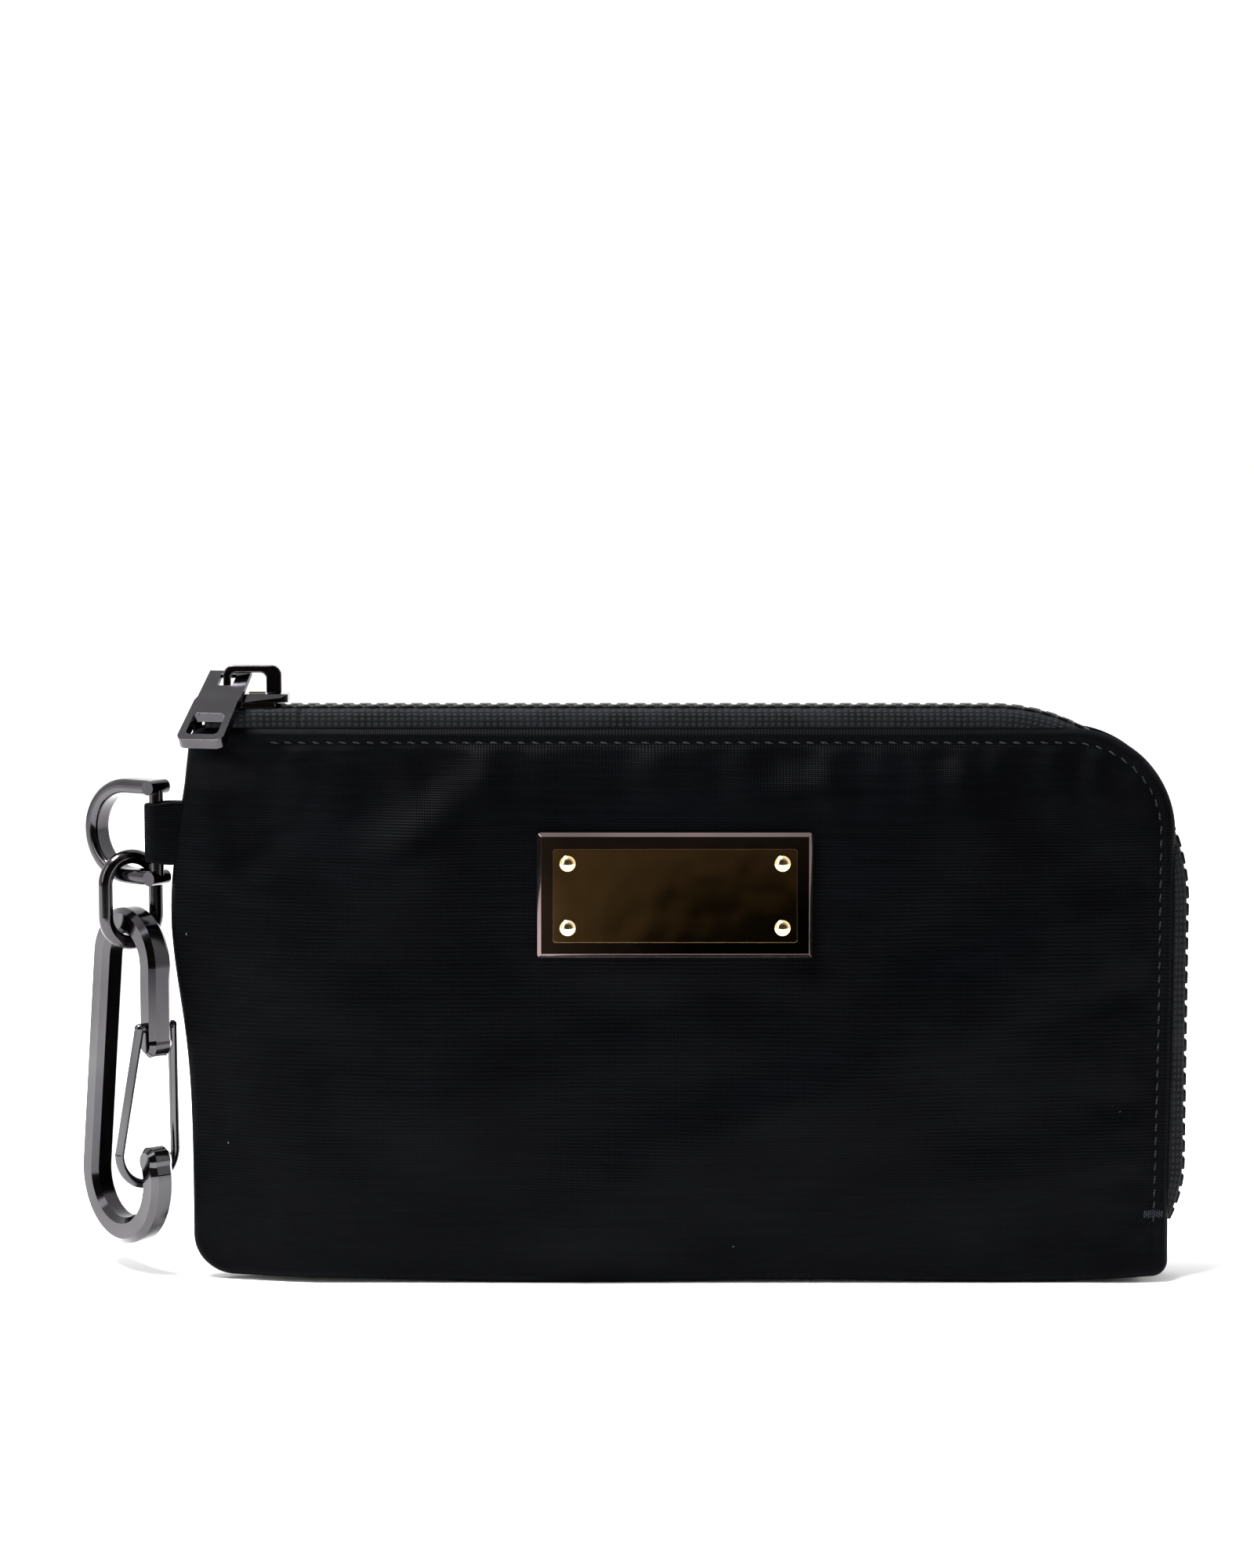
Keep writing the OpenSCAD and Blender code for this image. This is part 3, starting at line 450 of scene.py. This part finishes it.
def roundCorners(x, z, margin, corners):
    # Moves the points of a square-cornered grid onto rounded corners
    radius = cornerRadius(x, z, corners)
    sideX = 1 if x > 0 else -1
    sideZ = 1 if z > pouch["top"] / 2 else -1
    cx = (pouch["right"] if x > 0 else pouch["left"]) - sideX * (margin + radius)
    cz = (pouch["top"] if sideZ > 0 else 0) - sideZ * (margin + radius)
    dx, dz = (x - cx) * sideX, (z - cz) * sideZ
    if dx <= 0 or dz <= 0:
        return x, z
    shrink = max(dx, dz) / math.hypot(dx, dz)
    return cx + sideX * dx * shrink, cz + sideZ * dz * shrink


# Soft folds: start, end, half width and height of each
frontFolds = [
    ((-30, 12), (46, 40), 10, 1.3), ((-8, 27), (68, 56), 6, 0.8), ((-58, 82), (-34, 106), 6, 1.2),
    ((-80, 60), (-50, 92), 8, 0.8), ((28, 60), (60, 108), 9, 1.0), ((34, 50), (86, 76), 7, 0.8),
    ((-78, 26), (-26, 44), 11, 0.8), ((-92, 72), (-72, 100), 4, -0.7), ((8, 93), (36, 102), 5, 0.6),
    ((-54, 44), (-4, 58), 7, -0.6), ((48, 18), (86, 30), 8, 0.7), ((-95, 84), (-74, 78), 3.5, 0.7),
    ((-16, 96), (-26, 108), 4, 0.7), ((-4, 97), (-10, 108), 4, 0.6), ((20, 97), (12, 108), 5, 0.5),
    ((70, 84), (88, 92), 5, 0.6), ((72, 60), (90, 66), 5, 0.5), ((-50, 10), (-10, 6), 5, 0.5),
]
backFolds = [
    ((-70, 30), (20, 62), 12, 1.1), ((0, 20), (70, 34), 9, 0.9), ((-84, 74), (-50, 96), 7, 1.0),
    ((20, 70), (70, 96), 9, 1.0), ((-20, 80), (10, 100), 7, 0.8), ((-60, 8), (-20, 24), 8, 0.6),
]


foldEnd = 8  # How far a fold runs out past each end


def foldHeight(x, z, folds):
    height = 0
    for (ax, az), (bx, bz), width, rise in folds:
        length = math.hypot(bx - ax, bz - az)
        ux, uz = (bx - ax) / length, (bz - az) / length
        along = (x - ax) * ux + (z - az) * uz
        across = (z - az) * ux - (x - ax) * uz
        if -foldEnd < along < length + foldEnd and abs(across) < 2.5 * width:
            reach = ease(min(along, length - along) / 18 + foldEnd / 18)
            height += rise * reach * math.exp(-(across / width) ** 2)
    return height


# Heights of the folds, of the soft and sharp unevenness, and of the puckers along the seams
crumple = {"fold": 1.5, "soft": 1.3, "crease": 0.9, "pucker": 1.1, "sidePucker": 0.8}


def wrinkle(x, z, folds, seed):
    c = crumple
    soft = noise.noise(Vector((x * 0.028, z * 0.034, seed)))
    crease = noise.noise(Vector((x * 0.055 + z * 0.03, z * 0.07 - x * 0.02, seed + 7)))
    pucker = noise.noise(Vector((x * 0.19, z * 0.03, seed + 3)))
    gather = ease((pouch["top"] - 3 - z) / 3) * (1 - ease((pouch["top"] - 6 - z) / 20))
    sideGather = ease((pouch["right"] - 4 - x) / 3)
    sideGather *= 1 - ease((pouch["right"] - 6 - x) / 16)
    sidePucker = noise.noise(Vector((x * 0.03, z * 0.19, seed + 5)))
    inner = ease(edgeDistance(x, z) / 12)
    height = inner * (c["fold"] * foldHeight(x, z, folds) + c["soft"] * soft + c["crease"] * crease)
    return height + c["pucker"] * pucker * gather + c["sidePucker"] * sidePucker * sideGather


def platePress(x, z):
    # The cloth lies flat under the plate
    dx = max(plateLow.x - x, x - plateHigh.x, 0)
    dz = max(plateLow.z - z, z - plateHigh.z, 0)
    return 1 - ease(math.hypot(dx, dz) / 7)


stitchLine = {"inset": 2.9, "pitch": 2.7, "length": 2.0, "thick": 0.5, "slant": 9, "start": -80,
              "end": 10, "groove": 0.45, "proud": 0.12}
# The closely sewn end of the seam
tacking = {"count": 9, "pitch": 0.42, "inset": 4.8, "over": 3.4, "length": 1.9, "thick": 0.45,
           "slant": 6, "proud": 0.1}


def frontRelief(x, z):
    # Height of the front's cloth over the plain shell
    press = platePress(x, z)
    height = wrinkle(x, z, frontFolds, 1.3) * (1 - press) - 0.15 * press
    return height + seamRelief(x, z)


def seamRelief(x, z):
    # The stitching pulls a groove beside the turned edge of the top and of the right side
    distance = edgeDistance(x, z)
    if distance > 8 or min(pouch["top"] - z, pouch["right"] - x) > 22:
        return 0
    started = ease((x + 84) / 4) * ease((z - 3) / 4)
    groove = stitchLine["groove"] * math.exp(-((distance - stitchLine["inset"]) / 0.7) ** 2)
    return started * (0.3 * math.exp(-((distance - 1.4) / 0.9) ** 2) - groove)


def backRelief(x, z):
    return wrinkle(x, z, backFolds, 21.7) + seamRelief(x, z)


# The side seam's bulge and dip, the right side's lean, and the lift of the base's corners and edge
wander = {"bulge": 3.8, "bulgeAt": 74, "bulgeWide": 23, "dip": 0.9, "dipAt": 108, "dipWide": 8,
          "out": 0.4, "lean": 0.4, "corner": 0.9, "ripple": 0.35}


def edgeShift(x, z):
    # The seams of the sewn pouch wander a little from the straight outline
    left = 1 - ease((x - pouch["left"]) / 40)
    bulge = wander["bulge"] * math.exp(-((z - wander["bulgeAt"]) / wander["bulgeWide"]) ** 2)
    bulge -= wander["dip"] * math.exp(-((z - wander["dipAt"]) / wander["dipWide"]) ** 2)
    right = ease((x - pouch["right"] + 30) / 30)
    lift = wander["corner"] * (abs(x) / pouch["right"]) ** 4 * (1 - ease(z / 30))
    lift += wander["ripple"] * (1 + math.sin(x * 0.07)) * (1 - ease(z / 20))
    return -(bulge + wander["out"]) * left + wander["lean"] * right * ease(z / 60), lift


def rolledEdge(distance, thickness):
    # The turned-in edge curves round to the inside
    reach = 1.3 * thickness
    if distance >= reach:
        return 0
    t = 1 - max(0, distance) / reach
    return thickness * (1 - math.sqrt(max(0, 1 - t * t)))


edgeCrowding = 0.55


def crowdEnds(t, share):
    # Puts more of a grid's lines near its two edges
    return t - share * math.sin(2 * math.pi * t) / (2 * math.pi)


def onShell(x, z, side, depth):
    moveX, moveZ = edgeShift(x, z)
    return Vector((x + moveX, side * depth, z + moveZ))


def addSheet(name, side, margin, corners, inward, relief, material, thickness, cells,
             rolled=True):
    # One sheet of the bag: a grid laid over the outline and pushed out to the shell
    width = pouch["right"] - pouch["left"] - 2 * margin
    height = pouch["top"] - 2 * margin

    def place(u, v):
        x = pouch["left"] + margin + crowdEnds(u, edgeCrowding * rolled) * width
        z = margin + crowdEnds(v, edgeCrowding * rolled) * height
        x, z = roundCorners(x, z, margin, corners)
        depth = halfDepth(x, z) + relief(x, z) - inward
        if rolled:
            depth -= rolledEdge(edgeDistance(x, z), thickness)
        return onShell(x, z, side, depth)

    piece = layGrid(name, cells[0], cells[1], place, material, (width, height), side > 0)
    addModifier(piece, "SUBSURF", levels=1, render_levels=1)
    addModifier(piece, "SOLIDIFY", thickness=thickness * mm, offset=-1)
    return piece


def bendWithMouth(piece):
    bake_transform(piece)


sheetCells = {"panel": (124, 74), "lining": (60, 34)}
clothThick = {"panel": 0.9, "lining": 0.4, "strip": 0.5}
liningFit = {"margin": 7, "inward": 2.1, "back": 0.3, "crumple": 0.25}


def makeLining(name, side, folds, seed):
    return addSheet(name, side, liningFit["margin"], liningCorners, liningFit["inward"],
                    lambda x, z: liningFit["crumple"] * wrinkle(x, z, folds, seed) - liningFit["back"],
                    lining, clothThick["lining"], sheetCells["lining"], False)


def makeBag():
    front = addSheet("frontPanel", -1, 0, panelCorners, 0, frontRelief, nylon,
                     clothThick["panel"], sheetCells["panel"])
    standFor(front, None, "nylon", "front_panel", "flap_panel")
    bendWithMouth(front)
    back = addSheet("backPanel", 1, 0, panelCorners, 0, backRelief, nylon,
                    clothThick["panel"], sheetCells["panel"])
    standFor(back, "pouch", "nylon", "back_panel")
    inFront = makeLining("frontLining", -1, frontFolds, 4)
    standFor(inFront, None, "lining", "front_lining", "flap_lining")
    bendWithMouth(inFront)
    inBack = makeLining("backLining", 1, backFolds, 5)
    standFor(inBack, "pouch", "lining", "back_lining")


def makeBaseAndGore():
    low, high = cadCorners("base_strip")

    def onBase(u, v):
        x = mix(low.x, high.x, u)
        half = halfDepth(x, 1) - 0.9
        lift = edgeShift(x, 0)[1]
        return (x, mix(-half, half, v), lift + 0.6 + 0.25 * math.sin(math.pi * v))

    base = layGrid("baseStrip", 60, 8, onBase, nylon, (high.x - low.x, 10), True)
    addModifier(base, "SOLIDIFY", thickness=clothThick["strip"] * mm, offset=-1)
    standFor(base, "pouch", "nylon", "base_strip")
    low, high = cadCorners("side_gore")

    def onGore(u, v):
        z = mix(low.z - 2, high.z - 0.6, v)
        half = halfDepth(low.x + 1, min(z, pouch["top"])) - 0.95
        bow = 0.9 * math.cos(math.pi * (u - 0.5)) * v
        return (low.x - 0.4 + bow, mix(-half, half, u), z)

    gore = layGrid("sideGore", 14, 20, onGore, nylon, (10, high.z - low.z))
    addModifier(gore, "SOLIDIFY", thickness=clothThick["strip"] * mm, offset=0)
    standFor(gore, "pouch", "nylon", "side_gore")


def makePocket():
    low, high = cadCorners("inner_pocket")

    def onPocket(u, v):
        x, z = mix(low.x, high.x, u), mix(low.z, high.z, v)
        sag = 0.6 * math.sin(math.pi * u) * v ** 3
        hem = 0.35 * math.exp(-((high.z - z - 1.2) / 1.0) ** 2)
        return (x, halfDepth(x, z) - 3.2 - sag - hem, z)

    pocket = layGrid("slipPocket", 60, 40, onPocket, lining,
                     (high.x - low.x, high.z - low.z), True)
    addModifier(pocket, "SOLIDIFY", thickness=clothThick["lining"] * mm, offset=-1)
    standFor(pocket, "pouch", "lining", "inner_pocket")


makeBag()
makeBaseAndGore()
makePocket()
print("bag made")


def stitchSpots(inset, start, end):
    # Places and headings along the top, round the corner and down the side
    p, radius = pouch, panelCorners[1] - inset
    top, side = p["top"] - inset, p["right"] - inset
    turnX, turnZ = side - radius, top - radius
    topRun, turnRun = turnX - start, math.pi / 2 * radius
    total = topRun + turnRun + turnZ - end
    for i in range(int(total / stitchLine["pitch"]) + 1):
        s = i * stitchLine["pitch"]
        if s < topRun:
            yield start + s, top, 0
        elif s < topRun + turnRun:
            a = (s - topRun) / radius
            yield turnX + radius * math.sin(a), turnZ + radius * math.cos(a), math.degrees(a)
        else:
            yield side, turnZ - (s - topRun - turnRun), 90


def addStitch(bm, spot, heading, slant, length, thick):
    turn = Matrix.Rotation(math.radians(heading + slant), 4, "Y")
    size = Matrix.Diagonal((length / 2 * mm, thick / 2 * mm, thick / 2 * mm, 1))
    bmesh.ops.create_icosphere(bm, subdivisions=1, radius=1,
                               matrix=Matrix.Translation(spot * mm) @ turn @ size)


def makeStitches():
    line, tack = stitchLine, tacking
    for name, side, relief in (("frontStitches", -1, frontRelief),
                               ("backStitches", 1, backRelief)):
        bm = bmesh.new()
        for x, z, heading in stitchSpots(line["inset"], line["start"], line["end"]):
            depth = halfDepth(x, z) + relief(x, z) + line["proud"]
            addStitch(bm, onShell(x, z, side, depth), heading, line["slant"] * -side,
                      line["length"], line["thick"])
        for i in range(tack["count"]):
            x = pouch["right"] - tack["inset"] + tack["pitch"] * i
            z = line["end"] + tack["over"]
            depth = halfDepth(x, z) + relief(x, z) + tack["proud"]
            addStitch(bm, onShell(x, z, side, depth), 90, tack["slant"], tack["length"],
                      tack["thick"])
        seam = addPiece(name, bm, thread)
        if side < 0:
            bendWithMouth(seam)
        else:
            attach(seam, "pouch")


makeStitches()
print("stitches made")


toothHigh = 2.2
chain = {
    "start": cadCorners("zip_top_stops")[0].x,
    "top": cadCorners("zip_teeth_end")[1].z - toothHigh / 2,
    "side": cadCorners("zip_teeth_back")[1].x - toothHigh / 2,
    "turn": 38, "tuck": 25, "tuckZ": 24, "tuckAngle": 40, "pitch": 3.4, "tooth": 2.5,
    "inner": 0.5, "outer": 2.95, "head": 1.35, "headSize": 0.62, "rounding": 0.3,
    "first": 3, "part": 19,
}
turnX, turnZ = chain["side"] - chain["turn"], chain["top"] - chain["turn"]
tuckX = chain["side"] - chain["tuck"]
topRun, turnRun = turnX - chain["start"], math.pi / 2 * chain["turn"]
sideRun = turnZ - chain["tuckZ"]
chainRun = topRun + turnRun + sideRun + math.radians(chain["tuckAngle"]) * chain["tuck"]


def chainAt(s):
    # Place and heading at a distance along the zip
    if s < topRun:
        return chain["start"] + s, chain["top"], 0
    if s < topRun + turnRun:
        a = (s - topRun) / chain["turn"]
        return turnX + chain["turn"] * math.sin(a), turnZ + chain["turn"] * math.cos(a), a
    if s < topRun + turnRun + sideRun:
        return chain["side"], turnZ - (s - topRun - turnRun), math.pi / 2
    a = (s - topRun - turnRun - sideRun) / chain["tuck"]
    return (tuckX + chain["tuck"] * math.cos(a), chain["tuckZ"] - chain["tuck"] * math.sin(a),
            math.pi / 2 + a)


# Half of the tape: distance from the middle, and height over the teeth's middle
tapeSection = [(2.2, -0.25), (2.6, 0.35), (3.3, 0.55), (4.0, 0.3), (4.4, -0.3), (4.6, -1.1),
               (4.64, -2.0), (4.6, -3.2), (4.55, -5), (4.5, -7), (4.45, -9)]
tape = {"thick": 0.5, "step": 1.6, "ripple": 0.12, "width": 13, "begin": 0.3, "end": 2}


def addTape(name, side, start, end, body, *nodes):
    steps = max(4, round((end - start) / tape["step"]))

    def place(u, v):
        s = mix(start, end, u)
        x, z, heading = chainAt(s)
        y, h = tapeSection[round(v * (len(tapeSection) - 1))]
        h += tape["ripple"] * math.sin(2 * math.pi * s / chain["pitch"]) * (h > -3)
        return (x + h * math.sin(heading), side * y, z + h * math.cos(heading))

    band = layGrid(name, steps, len(tapeSection) - 1, place, tapeWeave,
                   (end - start, tape["width"]), side < 0)
    addModifier(band, "SUBSURF", levels=1, render_levels=1)
    addModifier(band, "SOLIDIFY", thickness=tape["thick"] * mm, offset=-1)
    standFor(band, body, "zip_tape", *nodes)


def addTeeth(name, side, first, last, body, *nodes):
    # Moulded teeth: a square foot on the tape's edge and a smaller head that locks in the other row
    bm = bmesh.new()
    size = Matrix.Diagonal((chain["tooth"] * mm, (chain["outer"] - chain["inner"]) * mm,
                            toothHigh * mm, 1))
    s = first
    while s < last:
        x, z, heading = chainAt(s)
        spot = Vector((x, side * (chain["outer"] + chain["inner"]) / 2, z)) * mm
        turn = Matrix.Rotation(heading, 4, "Y")
        bmesh.ops.create_cube(bm, size=1, matrix=Matrix.Translation(spot) @ turn @ size)
        s += chain["pitch"]
    bm.normal_update()
    heads = [face for face in bm.faces if face.normal.y * side < -0.9]
    for face in bmesh.ops.extrude_discrete_faces(bm, faces=heads)["faces"]:
        middle = face.calc_center_median()
        for vert in face.verts:
            vert.co = middle + (vert.co - middle) * chain["headSize"]
            vert.co.y -= side * chain["head"] * mm
    bmesh.ops.bevel(bm, geom=bm.edges[:], offset=chain["rounding"] * mm, offset_type="OFFSET",
                    segments=2, profile=0.5, affect="EDGES", material=-1, clamp_overlap=True)
    teeth = addPiece(name, bm, acetal)
    standFor(teeth, body, "zip_teeth", *nodes)


def makeZip():
    half, part = chain["pitch"] / 2, chain["part"]
    begin, end = tape["begin"], chainRun + tape["end"]
    addTape("backTape", 1, begin, end, "pouch", "zip_tape_back")
    addTape("endTape", -1, begin, part + 0.1, "pouch", "zip_tape_end")
    addTape("frontTape", -1, part, end, "flap", "zip_tape_front")
    first = chain["first"] + chain["tooth"] / 2
    count = math.floor((part - first - half - 1.2) / chain["pitch"]) + 1
    addTeeth("backTeeth", 1, first, chainRun, "pouch", "zip_teeth_back")
    addTeeth("endTeeth", -1, first + half, first + half + (count - 0.5) * chain["pitch"],
             "pouch", "zip_teeth_end")
    addTeeth("frontTeeth", -1, first + half + count * chain["pitch"], chainRun, "flap",
             "zip_teeth_front")
    for name in ("zip_top_stops", "zip_bottom_stop"):
        finishNode(name, "pouch", "zip_teeth", acetal, chain["rounding"])


makeZip()
print("zip made")


# Body, slot, metal, rounding of its edges, steps of that rounding, and angle still taken as flat
finishedMetal = {
    "slider_body": ("slider", "slider_metal", gunmetal, 0.3, 3, 4),
    "slider_bail": ("slider", "slider_metal", gunmetal, 0.35, 3, 8),
    "pull_tab": ("pull", "pull_metal", gunmetal, 0.3, 3, 8),
    "plate_base": ("flap", "dark_plate", darkMirror, 0.12, 2, 4),
    "plate_face": ("flap", "gold_plate", goldMirror, 0.22, 3, 4),
}
platedOnly = {"plate_rivets": paleGold, "plate_washer": gunmetal, "slider_lock_spring": brass,
              "chain_link": gunmetal, "clip_gate": wireMetal, "clip_body": gunmetal,
              "d_ring": gunmetal}


def makeMetalParts():
    for name, settings in finishedMetal.items():
        finishNode(name, *settings)
    for name, material in platedOnly.items():
        node = frame["nodes"][name]
        node.data.materials.clear()
        node.data.materials.append(material)
        node.data.polygons.foreach_set("material_index", [0] * len(node.data.polygons))


strap = {"loop": 2.02, "thick": 0.85, "pinch": 0.35, "narrow": 0.5}


def makeStrap():
    low, high = cadCorners("ring_strap")
    barX = joints["ring_swivel"]["pos_m"][0] / mm
    r = strap["loop"]
    leg = [(high.x - 1, 0.55), (pouch["left"] + 1.5, 0.6), (pouch["left"] - 1.5, 0.85),
           (mix(barX, pouch["left"], 0.5), 1.35), (barX + 1.6, 1.85)]
    turn = [(barX + r * math.cos(a), r * math.sin(a))
            for a in [math.radians(80 + 20 * i) for i in range(11)]]
    path = leg + turn + [(x, -y) for x, y in leg[::-1]]

    def place(u, v):
        x, y = path[round(u * (len(path) - 1))]
        free = ease((pouch["left"] - x) / 5)
        pinch = strap["pinch"] * free * math.sin(math.pi * v) * math.sin(9 * v + 0.5 * x)
        narrow = strap["narrow"] * free * (v - 0.5) * (1 + math.sin(0.7 * x))
        sign = 1 if y > 0 else -1
        return (x, y + sign * 0.25 * abs(pinch) * (abs(y) > 0.6), mix(low.z, high.z, v) - narrow)

    band = layGrid("ringStrap", len(path) - 1, 16, place, nylon, (30, high.z - low.z))
    addModifier(band, "SOLIDIFY", thickness=strap["thick"] * mm, offset=0)
    addModifier(band, "SUBSURF", levels=1, render_levels=1)
    standFor(band, "pouch", "nylon", "ring_strap")


makeMetalParts()
makeStrap()
print("metal parts and strap made")
